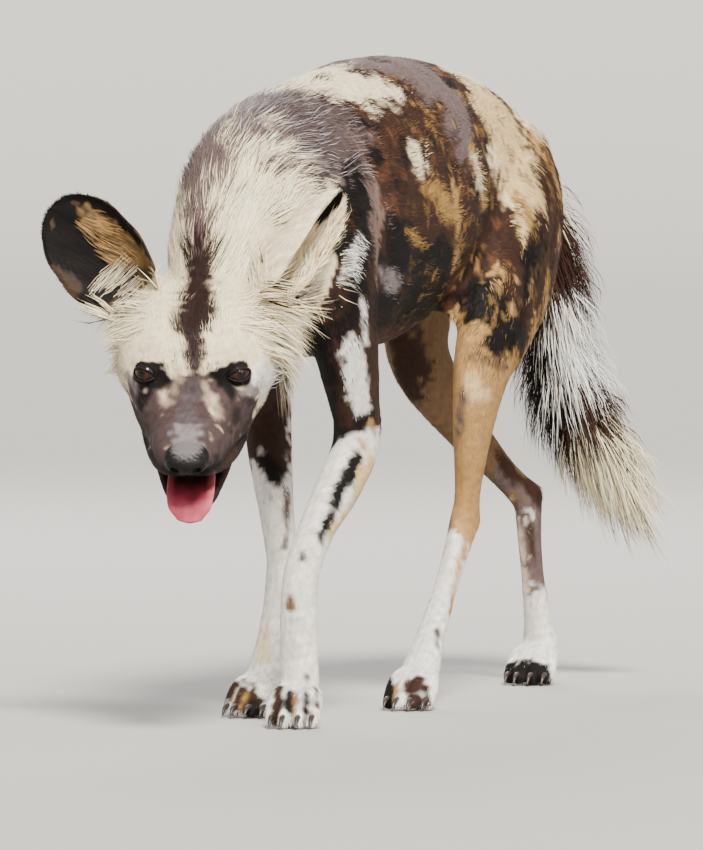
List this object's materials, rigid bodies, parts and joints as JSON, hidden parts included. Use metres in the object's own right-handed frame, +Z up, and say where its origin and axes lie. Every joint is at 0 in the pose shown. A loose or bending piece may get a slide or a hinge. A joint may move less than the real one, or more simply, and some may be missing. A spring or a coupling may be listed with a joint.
{
  "type": "african wild dog",
  "caption": "Life-size still model of an African wild dog, walking with its head low, mouth open, one ear up and one ear laid back, with a long ruff and a bushy tail.",
  "frame": {"origin": "centre of the bounding box on the floor that the four paws stand on", "axes": "-Y is the way the dog walks, +X is its left side, +Z is up"},
  "size_m": [0.2728, 1.1422, 0.6749],
  "materials": {
    "face_fur": "short dense fur, cream with a dark mask",
    "cream_fur": "long cream and tan fur",
    "brown_fur": "bristly dark brown fur with cream, tan and black patches",
    "white_fur": "short white fur with dark specks",
    "tan_fur": "short golden tan fur",
    "dark_fur": "short black-brown fur",
    "nose_pad": "moist fine-grained black skin",
    "tongue": "moist pink",
    "eye": "glossy amber-brown iris with a black pupil"
  },
  "bodies": {
    "root": {"head": "face_fur", "jaw": "dark_fur", "nose": "nose_pad", "tongue": "tongue", "eye_left": "eye", "eye_right": "eye", "ear_left": "cream_fur", "ear_right": "dark_fur", "neck": "cream_fur", "torso": "brown_fur", "foreleg_left": "white_fur", "foreleg_right": "brown_fur", "forepaw_left": "white_fur", "forepaw_right": "dark_fur", "hindleg_left": "tan_fur", "hindleg_right": "brown_fur", "hindpaw_left": "white_fur", "hindpaw_right": "dark_fur", "tail": "cream_fur"}
  },
  "joints": []
}
